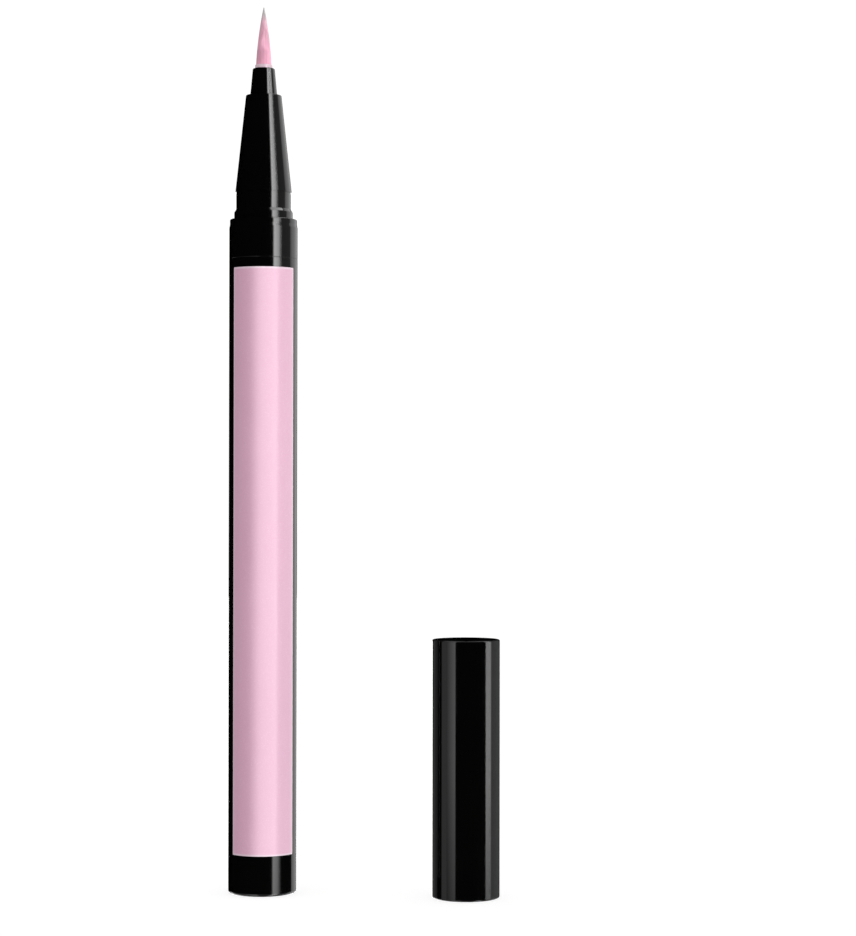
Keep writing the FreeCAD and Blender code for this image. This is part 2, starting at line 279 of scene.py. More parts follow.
class PenColours(bpy.types.PropertyGroup):
    """Colours of the finishes, in linear light."""

    black: tint("Black", "Moulded black plastic", 0.0010, 0.0010, 0.0011)
    black_cloud: tint("Black cloud", "Faint clouding of the black plastic", 0.0020, 0.0019, 0.0019)
    lacquer: tint("Lacquer", "Pink of the colour panel", 0.770, 0.438, 0.585)
    lacquer_deep: tint("Deep lacquer", "Darker clouds in the panel's pink", 0.745, 0.410, 0.558)
    pearl: tint("Pearl", "Fine pearl flakes in the panel", 0.830, 0.520, 0.660)
    # The pale panel rim is a painted highlight: colour that stands in for the light caught by the
    # panel's rounded edge.
    rim: tint("Panel rim", "Pale cut edge of the panel", 0.830, 0.700, 0.760)
    fibre: tint("Nib fibre", "Pink of the inked nib", 0.920, 0.450, 0.600)
    fibre_pale: tint("Pale fibre", "Drier pink higher on the nib", 0.860, 0.510, 0.620)
    fibre_dark: tint("Dark fibre", "Grooves between the nib's fibres", 0.600, 0.310, 0.400)
    fibre_point: tint("Nib point", "Bare fibre at the nib's point", 0.600, 0.570, 0.578)
    sleeve: tint("Sleeve", "Pale plastic of the nib's sleeve", 0.920, 0.740, 0.810)
    sleeve_deep: tint("Deep sleeve", "Inked places in the nib's sleeve", 0.860, 0.620, 0.710)
    natural: tint("Natural plastic", "Undyed plastic of the hidden pieces", 0.700, 0.690, 0.660)
    natural_deep: tint("Deep natural plastic", "Thicker places in undyed plastic", 0.620, 0.610, 0.575)
    tank: tint("Tank", "Clear plastic of the ink tank", 0.820, 0.840, 0.840)
    wick: tint("Wick", "Undyed fibre of the wick", 0.760, 0.730, 0.690)
    steel: tint("Steel", "Bright steel of the ball and the spring", 0.620, 0.620, 0.630)
    steel_dark: tint("Dark steel", "Drawing marks in steel", 0.430, 0.430, 0.445)
    floor: tint("Floor", "Pale floor", 0.340, 0.340, 0.340)
    floor_pale: tint("Pale floor", "Paler clouds in the floor", 0.360, 0.360, 0.360)


class PenStudio(bpy.types.PropertyGroup):
    """Camera and lights."""

    camera_side: size("Camera side", "How far the camera stands to the right of the pen", 0.0)
    camera_back: size("Camera distance", "How far the camera stands in front of the pen", 367.5 * MM)
    camera_high: size("Camera height", "Height of the camera above the floor", 58.9 * MM)
    camera_yaw: turn("Camera yaw", "How far the camera turns to the right", 3.776)
    camera_pitch: turn("Camera pitch", "How far the camera looks up", 0.504)
    camera_roll: turn("Camera roll", "How far the camera leans to the left", 0.08)
    lens: FloatProperty(name="Lens", description="Focal length", default=96.15, unit="CAMERA")
    ambient: amount("Ambient", "Strength of the soft light from all round", 0.66)
    key_power: amount("Key power", "Power of the soft key light in watts", 1.8)
    key_side: turn("Key side", "How far to the right of the camera the key light stands", 45.0)
    nib_power: amount("Nib power", "Power of the soft light on the nib in watts", 2.0)
    nib_side: turn("Nib side", "How far to the right of the camera the nib's light stands", 65.0)
    key_lift: turn("Key lift", "How high the key light stands", 28.0)
    key_distance: size("Key distance", "How far away the key light stands", 0.8)
    key_size: size("Key size", "Width of the key light", 0.5)
    floor_glow: amount("Floor glow", "Light that keeps the floor white", 0.82)
    card_distance: size("Card distance", "How far the reflected cards stand from what they light", 0.9)
    backdrop: amount("Backdrop", "Brightness of the white backdrop", 1.05)
    room: size("Room radius", "Radius of the floor and the backdrop", 3.0)


def ring_edges(shape, radius, height):
    """The edges of one ring of a turned shape."""
    def on_ring(corner):
        return abs(corner.co.z - height) < NEAR and abs(corner.co.to_2d().length - radius) < NEAR

    return [edge for edge in shape.edges if all(on_ring(corner) for corner in edge.verts)]


def round_edges(shape, edges, offset, segments=ROUND_STEPS):
    """Rounds some edges of a shape."""
    bmesh.ops.bevel(
        shape, geom=edges, offset=offset, offset_type="OFFSET", affect="EDGES",
        segments=segments, profile=0.5, material=-1, clamp_overlap=True,
    )


def rotate(shape, corners, angle, axis="Z"):
    """Turns some corners of a shape about an axis through the origin."""
    bmesh.ops.rotate(shape, verts=corners, cent=ORIGIN, matrix=Matrix.Rotation(angle, 3, axis))


def sweep(shape, angle, steps, rise=0.0, merge=False):
    """Spins a whole shape round the Z axis, with a rise at each step."""
    whole = [*shape.verts, *shape.edges, *shape.faces]
    bmesh.ops.spin(
        shape, geom=whole, cent=ORIGIN, axis=UP, dvec=UP * rise,
        angle=angle, steps=steps, use_merge=merge,
    )


def closed_shell(shape):
    """Merges doubles and turns the faces outwards."""
    bmesh.ops.remove_doubles(shape, verts=shape.verts, dist=MERGE)
    bmesh.ops.recalc_face_normals(shape, faces=shape.faces)


def held_outline(outline, closed):
    """The radius and height of an outline's points, with more points beside its roundings.

    These keep the shading of the walls next to a rounding straight.
    """
    points = []
    following = outline[1:] + outline[:1] if closed else outline[1:]
    for (*start, start_round), (*end, end_round) in zip(outline, following):
        first, last = Vector(start), Vector(end)
        way = (last - first).normalized()
        after = start_round + HOLD if start_round else 0.0
        before = end_round + HOLD if end_round else 0.0
        roomy = after + before < (last - first).length
        points.append(first)
        if roomy and after:
            points.append(first + way * after)
        if roomy and before:
            points.append(last - way * before)
    return points if closed else points + [Vector(outline[-1][:2])]


def turned(outline, steps, closed):
    """A shape spun once round the Z axis from points of a radius, a height and perhaps a rounding."""
    outline = [(*point, 0.0)[:3] for point in outline]
    points = held_outline(outline, closed)
    shape = bmesh.new()
    corners = [shape.verts.new((radius, 0.0, height)) for radius, height in points]
    ends = corners[1:] + corners[:1] if closed else corners[1:]
    for pair in zip(corners, ends):
        shape.edges.new(pair)
    sweep(shape, math.tau, steps, merge=True)
    closed_shell(shape)
    for radius, height, rounding in outline:
        if rounding:
            round_edges(shape, ring_edges(shape, radius, height), rounding)
    return shape


def add_object(shape, name, material):
    """An object at the origin from a bmesh, with its place in its mesh."""
    mesh = bpy.data.meshes.new(name)
    shape.to_mesh(mesh)
    shape.free()
    mesh.materials.append(material)
    made = bpy.data.objects.new(name, mesh)
    bpy.context.scene.collection.objects.link(made)
    return made


def fit_piece(shape, name, finish, body, node, even=True):
    """A smooth piece that rides on a body, hides the CAD node it stands for and takes a finish.

    Even shading keeps wide faces flat beside rounded edges.
    """
    for face in shape.faces:
        face.smooth = True
    for edge in shape.edges:
        if edge.is_manifold and edge.calc_face_angle() > SHARP:
            edge.smooth = False
    piece = add_object(shape, name, finish)
    if even:
        weighted = piece.modifiers.new("even_shading", "WEIGHTED_NORMAL")
        weighted.keep_sharp = True
    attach(piece, body)
    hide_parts(node)
    return piece


def repaint(node, finish):
    """Gives a CAD node that keeps its shape a better finish."""
    mesh = frame["nodes"][node].data
    if mesh.materials:
        mesh.materials[0] = finish
    else:
        mesh.materials.append(finish)


class Finish:
    """A node material that reads object coordinates."""

    def __init__(self, name, constants):
        self.material = bpy.data.materials.new(name)
        self.material.use_nodes = True
        self.tree = self.material.node_tree
        self.shader = self.tree.nodes["Principled BSDF"]
        for socket, value in constants.items():
            self.shader.inputs[socket].default_value = value
        self.place = self.node("ShaderNodeTexCoord", {}).outputs["Object"]

    def node(self, kind, inputs, **settings):
        """A node with its settings, and its inputs linked or set."""
        made = self.tree.nodes.new(kind)
        for key, value in settings.items():
            setattr(made, key, value)
        for socket, value in inputs.items():
            if isinstance(value, bpy.types.NodeSocket):
                self.tree.links.new(value, made.inputs[socket])
            else:
                made.inputs[socket].default_value = value
        return made

    def stretched(self, scale):
        """Object coordinates scaled along each axis."""
        return self.node("ShaderNodeMapping", {"Vector": self.place, "Scale": scale}).outputs["Vector"]

    def parts(self):
        """The X, Y and Z of the object coordinates in metres."""
        return self.node("ShaderNodeSeparateXYZ", {"Vector": self.place}).outputs

    def work_out(self, operation, *values, kind="ShaderNodeMath"):
        """The result of a mathematical operation on some values."""
        return self.node(kind, dict(enumerate(values)), operation=operation).outputs[0]

    def bearing(self, facing):
        """The angle round the pen's axis from a facing, without its sign."""
        parts = self.parts()
        angle = self.work_out("ARCTAN2", parts["Y"], parts["X"])
        return self.work_out("ABSOLUTE", self.work_out("SUBTRACT", angle, facing))

    def along_fibres(self, rise):
        """Coordinates that stay the same up lines which meet at the nib's point, but for a slow rise."""
        vector = "ShaderNodeVectorMath"
        flat = self.work_out("MULTIPLY", self.place, (1.0, 1.0, 0.0), kind=vector)
        high = self.work_out("MULTIPLY", self.place, (0.0, 0.0, rise), kind=vector)
        unit = self.work_out("NORMALIZE", flat, kind=vector)
        return self.work_out("ADD", unit, high, kind=vector)

    def noise(self, scale, detail=2.0, place=None):
        """Soft noise from 0 to 1."""
        inputs = {"Vector": place or self.place, "Scale": scale, "Detail": detail}
        return self.node("ShaderNodeTexNoise", inputs).outputs["Fac"]

    def cells(self, scale):
        """A random number for each small cell."""
        inputs = {"Vector": self.place, "Scale": scale}
        colour = self.node("ShaderNodeTexVoronoi", inputs, feature="F1").outputs["Color"]
        return self.node("ShaderNodeSeparateColor", {"Color": colour}).outputs["Red"]

    def spread(self, value, low, high, to_low=0.0, to_high=1.0):
        """Maps a value from one range to another."""
        inputs = {"Value": value, "From Min": low, "From Max": high, "To Min": to_low, "To Max": to_high}
        return self.node("ShaderNodeMapRange", inputs, clamp=True).outputs["Result"]

    def vary(self, noise, low, high):
        """Spreads the middle of a noise from one value to another."""
        return self.spread(noise, *NOISE_MIDDLE, low, high)

    def mix(self, share, first, second):
        """A blend of two colours."""
        return self.node("ShaderNodeMix", {0: share, 6: first, 7: second}, data_type="RGBA").outputs[2]

    def bump(self, height, strength, distance):
        """A surface relief."""
        inputs = {"Height": height, "Strength": strength, "Distance": distance}
        return self.node("ShaderNodeBump", inputs).outputs["Normal"]

    def show(self, surface):
        """Puts another shader in the place of the usual one."""
        self.tree.links.new(surface, self.tree.nodes["Material Output"].inputs["Surface"])
        self.tree.nodes.remove(self.shader)

    def feed(self, socket, value):
        """Links a value to the shader."""
        self.tree.links.new(value, self.shader.inputs[socket])


def black_gloss(name, colours):
    """Moulded black gloss plastic with faint flow clouds, handling haze and hairlines along the pen."""
    finish = Finish(name, {"IOR": 1.5})
    finish.feed("Base Color", finish.mix(finish.noise(70.0, 3.0), colours.black, colours.black_cloud))
    hairlines = finish.noise(4200.0, 2.0, finish.stretched((1.0, 1.0, 0.015)))
    haze = finish.vary(finish.noise(160.0, 4.0), 0.07, 0.11)
    worn = finish.spread(hairlines, 0.6, 0.75, 0.0, 0.03)
    finish.feed("Roughness", finish.work_out("ADD", haze, worn))
    finish.feed("Normal", finish.bump(finish.noise(700.0, 1.0), strength=0.04, distance=3e-6))
    return finish.material


def panel_lacquer(name, colours, sizes):
    """Satin pink lacquer with fine pearl flakes, and a painted highlight that pales it along its rounded
    edge.
    """
    finish = Finish(name, {"IOR": 1.47, "Coat Weight": 0.15, "Coat Roughness": 0.1})
    clouded = finish.mix(finish.noise(55.0, 3.0), colours.lacquer_deep, colours.lacquer)
    flakes = finish.spread(finish.cells(9000.0), 0.7, 1.0, 0.0, 0.5)
    pearled = finish.mix(flakes, clouded, colours.pearl)
    rise = finish.parts()["Z"]
    # Near every edge the pink pales towards the rim colour: a painted highlight of the light that the
    # rounded rim catches.
    highlight_band = sizes.panel_border
    below = finish.spread(rise, sizes.panel_low, sizes.panel_low + highlight_band, 1.0, 0.0)
    above = finish.spread(rise, sizes.panel_high - highlight_band, sizes.panel_high)
    across = finish.bearing(PANEL_FACING)
    beside = finish.spread(across, sizes.panel_half - highlight_band / sizes.radius, sizes.panel_half)
    edge = finish.work_out("MAXIMUM", finish.work_out("MAXIMUM", below, above), beside)
    painted_rim_highlight = finish.spread(edge, 0.1, 0.7, 0.0, 0.75)
    finish.feed("Base Color", finish.mix(painted_rim_highlight, pearled, colours.rim))
    finish.feed("Roughness", finish.vary(finish.noise(240.0, 3.0), 0.3, 0.38))
    drawn = finish.noise(3000.0, 2.0, finish.stretched((1.0, 1.0, 0.02)))
    finish.feed("Normal", finish.bump(drawn, strength=0.05, distance=3e-6))
    return finish.material


def inked_fibre(name, colours, sizes):
    """Damp pink nib fibre that dries paler towards a bare grey point."""
    finish = Finish(name, {"IOR": 1.45, "Sheen Weight": 0.08, "Sheen Roughness": 0.5})
    length = sizes.nib_tip - sizes.sleeve_high

    def level(share):
        return sizes.sleeve_high + share * length

    ragged = finish.noise(5.0, 2.0, finish.along_fibres(10.0))
    uneven = finish.work_out("MULTIPLY_ADD", ragged, 0.24 * length, finish.parts()["Z"])
    drying = finish.spread(uneven, level(0.42), level(0.84))
    baring = finish.spread(uneven, level(0.86), level(1.0))
    pink = finish.mix(drying, colours.fibre, colours.fibre_pale)
    streaks = finish.noise(7.0, 3.0, finish.along_fibres(6.0))
    grooved = finish.mix(finish.spread(streaks, 0.5, 0.7, 0.0, 0.7), pink, colours.fibre_dark)
    finish.feed("Base Color", finish.mix(baring, grooved, colours.fibre_point))
    finish.feed("Roughness", finish.vary(streaks, 0.42, 0.6))
    return finish.material


def moulded_plastic(name, base, deep, roughness):
    """Undyed moulded plastic with slight clouding and a fine texture."""
    finish = Finish(name, {"IOR": 1.49})
    finish.feed("Base Color", finish.mix(finish.noise(220.0, 3.0), base, deep))
    finish.feed("Roughness", finish.vary(finish.noise(900.0), roughness - 0.05, roughness + 0.05))
    finish.feed("Normal", finish.bump(finish.noise(5000.0), strength=0.1, distance=4e-6))
    return finish.material


def clear_tank(name, colours):
    """Clear tank plastic with faint flow lines along the tube."""
    finish = Finish(name, {"IOR": 1.49, "Transmission Weight": 0.7})
    flow = finish.noise(1500.0, 2.0, finish.stretched((1.0, 1.0, 0.05)))
    finish.feed("Base Color", finish.mix(flow, colours.tank, colours.natural))
    finish.feed("Roughness", finish.vary(flow, 0.12, 0.24))
    return finish.material


def wick_fibre(name, colours):
    """Bonded wick fibre, stained by the ink along its strands."""
    finish = Finish(name, {"IOR": 1.45})
    strands = finish.noise(7000.0, 2.0, finish.stretched((1.0, 1.0, 0.03)))
    stain = finish.spread(finish.noise(260.0, 3.0), 0.4, 0.6, 0.1, 0.8)
    finish.feed("Base Color", finish.mix(stain, colours.wick, colours.fibre))
    finish.feed("Roughness", finish.vary(strands, 0.65, 0.85))
    finish.feed("Normal", finish.bump(strands, strength=0.35, distance=1e-5))
    return finish.material


def bright_steel(name, colours, stretch, roughness):
    """Bright steel with fine polishing or drawing marks."""
    finish = Finish(name, {"Metallic": 1.0})
    marks = finish.noise(5000.0, 3.0, finish.stretched(stretch))
    finish.feed("Base Color", finish.mix(marks, colours.steel, colours.steel_dark))
    finish.feed("Roughness", finish.vary(marks, roughness, roughness + 0.1))
    finish.feed("Normal", finish.bump(marks, strength=0.05, distance=2e-6))
    return finish.material


def kept(name, maker, *inputs, **settings):
    """The finish of that name, made once."""
    return bpy.data.materials.get(name) or maker(name, *inputs, **settings)


def sector_faces(shape, sizes, low, high):
    """The faces of the barrel's outside where the panel's recess goes."""
    found = []
    for face in shape.faces:
        middle = face.calc_center_median()
        across = abs(math.atan2(middle.y, middle.x) - PANEL_FACING)
        outside = middle.to_2d().length > sizes.radius - sizes.recess_depth
        if outside and across < sizes.panel_half and low < middle.z < high:
            found.append(face)
    return found


class PEN_OT_barrel(bpy.types.Operator):
    """Model the black barrel with the recess for its colour panel"""

    bl_idname = "pen.barrel"
    bl_label = "Barrel"

    def execute(self, context):
        sizes = context.scene.pen_barrel
        low = sizes.panel_low - sizes.panel_gap
        high = sizes.panel_high + sizes.panel_gap
        shape = turned([
            (sizes.bore, 0.0),
            (sizes.radius, 0.0, sizes.tail_round),
            (sizes.radius, low),
            (sizes.radius, high),
            (sizes.radius, sizes.high, sizes.seam_round),
            (sizes.bore, sizes.high),
        ], sizes.steps, True)
        recess = sector_faces(shape, sizes, low, high)
        if not recess:
            raise RuntimeError("the barrel has no faces for the panel's recess")
        bmesh.ops.inset_region(
            shape, faces=recess, thickness=0.0, depth=-sizes.recess_depth, use_boundary=True,
        )
        widen = sizes.panel_gap / sizes.radius
        for side in (-1.0, 1.0):
            edge_angle = PANEL_FACING + side * sizes.panel_half
            column = [
                corner for corner in shape.verts
                if abs(math.atan2(corner.co.y, corner.co.x) - edge_angle) < NEAR_ANGLE
                and low - NEAR < corner.co.z < high + NEAR
            ]
            rotate(shape, column, side * widen)
        closed_shell(shape)
        finish = kept("black_gloss_plastic", black_gloss, context.scene.pen_colours)
        fit_piece(shape, "barrel_tube", finish, "pen", "barrel")
        return {"FINISHED"}


class PEN_OT_colour_panel(bpy.types.Operator):
    """Model the curved pink panel in the barrel's front"""

    bl_idname = "pen.colour_panel"
    bl_label = "Colour Panel"

    def execute(self, context):
        sizes = context.scene.pen_barrel
        outer = sizes.radius + sizes.panel_proud
        inner = outer - sizes.panel_depth
        shape = bmesh.new()
        corners = [
            shape.verts.new((radius, 0.0, height))
            for radius, height in (
                (inner, sizes.panel_low), (outer, sizes.panel_low),
                (outer, sizes.panel_high), (inner, sizes.panel_high),
            )
        ]
        shape.faces.new(corners)
        rotate(shape, shape.verts, PANEL_FACING - sizes.panel_half)
        whole = 2.0 * sizes.panel_half
        sweep(shape, whole, round(math.degrees(whole)))
        closed_shell(shape)
        corner_edges = [
            edge for edge in shape.edges
            if all(len(corner.link_edges) == 3 for corner in edge.verts)
            and abs(edge.verts[0].co.z - edge.verts[1].co.z) < NEAR
            and abs(edge.calc_length() - sizes.panel_depth) < NEAR
        ]
        round_edges(shape, corner_edges, sizes.panel_corner)
        rim = [
            edge for edge in shape.edges
            if edge.is_manifold and edge.calc_face_angle() > SHARP
            and all(corner.co.to_2d().length > outer - NEAR for corner in edge.verts)
        ]
        if not rim:
            raise RuntimeError("the panel has no rim to round")
        round_edges(shape, rim, sizes.panel_edge)
        finish = kept("pink_lacquer", panel_lacquer, context.scene.pen_colours, sizes)
        fit_piece(shape, "lacquer_panel", finish, "pen", "colour_panel")
        return {"FINISHED"}


class PEN_OT_nose_section(bpy.types.Operator):
    """Model the nose section with its collar, shoulder, neck, groove, bead and cone"""

    bl_idname = "pen.nose_section"
    bl_label = "Nose Section"

    def execute(self, context):
        sizes = context.scene.pen_nose
        seam = context.scene.pen_barrel.high
        holder_foot = context.scene.pen_nib.holder_foot
        ring_top = sizes.shoulder + sizes.ring_height
        groove_top = ring_top + sizes.groove_height
        lip_foot = sizes.shoulder - sizes.lip_height
        shape = turned([
            (sizes.bore, sizes.foot),
            (sizes.spigot, sizes.foot),
            (sizes.spigot, seam),
            (sizes.radius, seam, context.scene.pen_barrel.seam_round),
            (sizes.radius, lip_foot - sizes.lip_run, sizes.crisp),
            (sizes.lip_radius, lip_foot, sizes.crisp),
            (sizes.lip_radius, sizes.shoulder, sizes.lip_round),
            (sizes.ring_radius, sizes.shoulder),
            (sizes.ring_radius, ring_top - sizes.ring_bevel, sizes.crisp),
            (sizes.groove_radius, ring_top, sizes.crisp),
            (sizes.groove_radius, groove_top),
            (sizes.bead_radius, groove_top),
            (sizes.cone_base, groove_top + sizes.bead_height, sizes.crisp),
            (sizes.cone_tip, sizes.ledge, sizes.ledge_round),
            (sizes.front_bore, sizes.ledge),
            (sizes.front_bore, holder_foot),
            (sizes.bore, holder_foot - sizes.taper),
        ], sizes.steps, True)
        finish = kept("black_gloss_plastic", black_gloss, context.scene.pen_colours)
        fit_piece(shape, "nose_moulding", finish, "pen", "nose_section")
        return {"FINISHED"}


class PEN_OT_nib_holder(bpy.types.Operator):
    """Model the tapered holder in the cone's end and the pale sleeve in it"""

    bl_idname = "pen.nib_holder"
    bl_label = "Nib Holder and Sleeve"

    def execute(self, context):
        sizes = context.scene.pen_nib
        colours = context.scene.pen_colours
        ledge = context.scene.pen_nose.ledge
        holder = turned([
            (sizes.holder_bore, sizes.holder_foot),
            (sizes.holder_stem, sizes.holder_foot),
            (sizes.holder_stem, ledge),
            (sizes.holder_base, ledge),
            (sizes.holder_tip, sizes.holder_high, sizes.holder_round),
            (sizes.holder_bore, sizes.holder_high),
        ], sizes.steps, True)
        black = kept("black_gloss_plastic", black_gloss, colours)
        fit_piece(holder, "holder_tip", black, "pen", "nib_holder")
        sleeve = turned([
            (sizes.sleeve_bore, sizes.sleeve_foot),
            (sizes.sleeve_radius, sizes.sleeve_foot),
            (sizes.sleeve_radius, sizes.sleeve_high, sizes.sleeve_round),
            (sizes.sleeve_bore, sizes.sleeve_high),
        ], sizes.steps, True)
        pale = kept(
            "pale_sleeve_plastic", moulded_plastic, colours.sleeve, colours.sleeve_deep, roughness=0.3,
        )
        fit_piece(sleeve, "sleeve_tube", pale, "pen", "nib_sleeve")
        return {"FINISHED"}


def nib_side(sizes, share):
    """Radius and height on the nib's swollen side, a share of the way from the sleeve to the point."""
    start = Vector((sizes.nib_radius, sizes.sleeve_high))
    end = Vector((sizes.point, sizes.nib_tip))
    way = (end - start).normalized()
    outward = Vector((way.y, -way.x))
    return start.lerp(end, share) + outward * (4.0 * sizes.bulge * share * (1.0 - share))


def straight_strand(sizes):
    """A mesh of one straight fibre of unit radius and length, which tapers near its end."""
    shape = bmesh.new()
    bmesh.ops.create_circle(shape, cap_ends=True, radius=1.0, segments=sizes.fibre_sides)
    end = list(shape.faces)
    for ring in range(sizes.fibre_rings):
        grown = bmesh.ops.extrude_face_region(shape, geom=end)["geom"]
        end = [part for part in grown if isinstance(part, bmesh.types.BMFace)]
        moved = [part for part in grown if isinstance(part, bmesh.types.BMVert)]
        bmesh.ops.translate(shape, verts=moved, vec=UP / sizes.fibre_rings)
    closed_shell(shape)
    mesh = bpy.data.meshes.new("strand")
    shape.to_mesh(mesh)
    shape.free()
    return mesh


# How the nib's fibres vary: the drift is an angle, the sink and the thickness are shares of a
# fibre's radius, and the rest are shares of its length or of its taper
FIBRE_DRIFT = 0.04
FIBRE_SINK = 0.6
FIBRE_THICKNESS = (0.8, 1.15)
FIBRE_SHORTNESS = 0.05
FIBRE_START = -0.05
FIBRE_TAPER = 0.8
FIBRE_TAPER_POWER = 2.5


def lay_fibre(strand, sizes, draw):
    """Bends the corners of one straight strand along the nib's side at a random place."""
    bearing = draw.uniform(0.0, math.tau)
    drift = draw.uniform(-FIBRE_DRIFT, FIBRE_DRIFT)
    sunk = draw.uniform(0.0, FIBRE_SINK) * sizes.fibre_radius
    thick = sizes.fibre_radius * draw.uniform(*FIBRE_THICKNESS)
    finish_at = 1.0 - abs(draw.gauss(0.0, FIBRE_SHORTNESS))
    for corner in strand:
        along = corner.co.z
        share = FIBRE_START + along * (finish_at - FIBRE_START)
        radius, height = nib_side(sizes, max(share, 0.0))
        height += min(share, 0.0) * (sizes.nib_tip - sizes.sleeve_high)
        slim = thick * (1.0 - FIBRE_TAPER * along ** FIBRE_TAPER_POWER)
        middle = max(radius - slim - sunk, 0.0)
        angle = bearing + drift * along
        outward = Vector((math.cos(angle), math.sin(angle), 0.0))
        sideways = Vector((-outward.y, outward.x, 0.0))
        offset = outward * (corner.co.x * slim) + sideways * (corner.co.y * slim)
        corner.co = outward * middle + offset + UP * min(height, sizes.nib_tip)


class PEN_OT_nib(bpy.types.Operator):
    """Model the fibre nib: a core with fine fibres laid along it to the point"""

    bl_idname = "pen.nib"
    bl_label = "Nib"

    def execute(self, context):
        sizes = context.scene.pen_nib
        sides = [nib_side(sizes, ring / sizes.core_rings) for ring in range(sizes.core_rings)]
        outline = [
            (0.0, sizes.nib_foot),
            (sizes.nib_radius, sizes.nib_foot),
            (sizes.nib_radius, sizes.sleeve_high - sizes.core_inset),
            *((radius - sizes.core_inset, height) for radius, height in sides),
            (0.0, sizes.nib_tip - sizes.point),
        ]
        shape = turned(outline, sizes.core_steps, False)
        straight = straight_strand(sizes)
        bent = bpy.data.meshes.new("bent_strand")
        draw = random.Random(sizes.seed)
        for _ in range(sizes.fibres):
            strand = bmesh.new()
            strand.from_mesh(straight)
            lay_fibre(strand.verts, sizes, draw)
            strand.to_mesh(bent)
            strand.free()
            shape.from_mesh(bent)
        bpy.data.meshes.remove(straight)
        bpy.data.meshes.remove(bent)
        finish = kept("inked_nib_fibre", inked_fibre, context.scene.pen_colours, sizes)
        fit_piece(shape, "fibre_nib", finish, "pen", "nib", even=False)
        return {"FINISHED"}


class PEN_OT_cap_shell(bpy.types.Operator):
    """Model the black cap with its snap bead and spring boss"""

    bl_idname = "pen.cap_shell"
    bl_label = "Cap Shell"

    def execute(self, context):
        sizes = context.scene.pen_cap
        end = sizes.height - sizes.end_wall
        low = sizes.snap_middle - sizes.snap_half
        high = sizes.snap_middle + sizes.snap_half
        shape = turned([
            (0.0, end - sizes.boss_height),
            (sizes.boss_radius, end - sizes.boss_height),
            (sizes.boss_radius, end),
            (sizes.bore, end),
            (sizes.bore, high + sizes.snap_run),
            (sizes.snap_radius, high),
            (sizes.snap_radius, low),
            (sizes.bore, low - sizes.snap_run),
            (sizes.bore, 0.0),
            (sizes.radius, 0.0, sizes.rim_round),
            (sizes.radius, sizes.height, sizes.top_round),
            (0.0, sizes.height),
        ], sizes.steps, False)
        bmesh.ops.translate(shape, verts=shape.verts, vec=axis_of("cap_shell").to_3d())
        finish = kept("black_gloss_plastic", black_gloss, context.scene.pen_colours)
        fit_piece(shape, "cap_cover", finish, "cap", "cap_shell")
        return {"FINISHED"}


class PEN_OT_cap_spring(bpy.types.Operator):
    """Model the coil spring behind the inner cap"""

    bl_idname = "pen.cap_spring"
    bl_label = "Cap Spring"

    def execute(self, context):
        sizes = context.scene.pen_cap
        low = sizes.coil_low + sizes.wire_radius
        high = sizes.coil_high - sizes.wire_radius
        steps = sizes.coils * sizes.coil_steps
        shape = bmesh.new()
        bmesh.ops.create_circle(shape, radius=sizes.wire_radius, segments=sizes.wire_sides)
        rotate(shape, shape.verts, RIGHT_ANGLE, "X")
        bmesh.ops.translate(shape, verts=shape.verts, vec=(sizes.coil_radius, 0.0, low))
        sweep(shape, math.tau * sizes.coils, steps, rise=(high - low) / steps)
        bmesh.ops.holes_fill(shape, edges=shape.edges, sides=sizes.wire_sides)
        closed_shell(shape)
        axis = axis_of("cap_shell")
        bmesh.ops.translate(shape, verts=shape.verts, vec=axis.to_3d())
        colours = context.scene.pen_colours
        finish = kept("spring_steel", bright_steel, colours, stretch=(1.0, 1.0, 1.0), roughness=0.18)
        coil = fit_piece(
            shape, "spring_coil", finish, "cap", "inner_cap_spring", even=False,
        )
        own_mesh(coil)
        return {"FINISHED"}


class PEN_OT_inner_works(bpy.types.Operator):
    """Finish the hidden pieces that keep their CAD shape"""

    bl_idname = "pen.inner_works"
    bl_label = "Inner Works"

    def execute(self, context):
        colours = context.scene.pen_colours
        black = kept("black_gloss_plastic", black_gloss, colours)
        natural = kept(
            "natural_plastic", moulded_plastic, colours.natural, colours.natural_deep, roughness=0.42,
        )
        steel = kept("ball_steel", bright_steel, colours, stretch=(1.0, 1.0, 0.2), roughness=0.08)
        repaint("tail_plug", black)
        for node in ("tank_stopper", "collector", "cap_liner", "inner_cap"):
            repaint(node, natural)
        repaint("ink_tank", kept("clear_tank_plastic", clear_tank, colours))
        repaint("relay_wick", kept("wick_fibre", wick_fibre, colours))
        repaint("mixing_ball", steel)
        return {"FINISHED"}


FLOOR_SIDES = 128
FLOOR_DROP = 0.02 * MM
BACKDROP_SIDES = 64
BACKDROP_RINGS = 32
SENSOR_WIDTH = 36.0
NEAREST = 0.01
FARTHEST = 10.0
LIGHT_AIM = Vector((0.01, 0.0, 0.06))
CARD_STEPS = 48
ALL_ROUND = (-179.0, 179.0)
HARD_ENDS = (0.004, 0.004)
# Heights of a card's lower and upper edges in metres
TALL = (-0.4, 0.9)
WHOLE = (-3.0, 3.0)
HIGH = (1.0, 3.0)
LOW = (-4.0, -0.24)
BACK = (-0.6, 0.0)
# Fades of a card: two heights in metres, and the share of its glow at each
EVEN = (0.0, 1.0, 1.0, 1.0)
ABOVE_TAIL = (-0.12, 0.02, 0.0, 1.0)
CAP_FOOT = (-0.16, -0.08, 0.4, 1.0)
HIGH_ONLY = (1.0, 1.4, 0.0, 1.0)
LOW_ONLY = (-0.55, -0.25, 1.0, 0.0)


class Card(NamedTuple):
    """A glowing arc that only shows in reflections.

    Its azimuths are degrees to the right of the camera, its levels and its softness belong to its
    left and right sides, and it may stand farther away than the studio's card distance.
    """

    name: str
    azimuths: tuple
    levels: tuple
    softness: tuple
    heights: tuple = TALL
    fade: tuple = EVEN
    farther: float = 0.0


def dim_below(share):
    """A fade to a share of the glow below the floor."""
    return (-0.16, 0.04, share, 1.0)


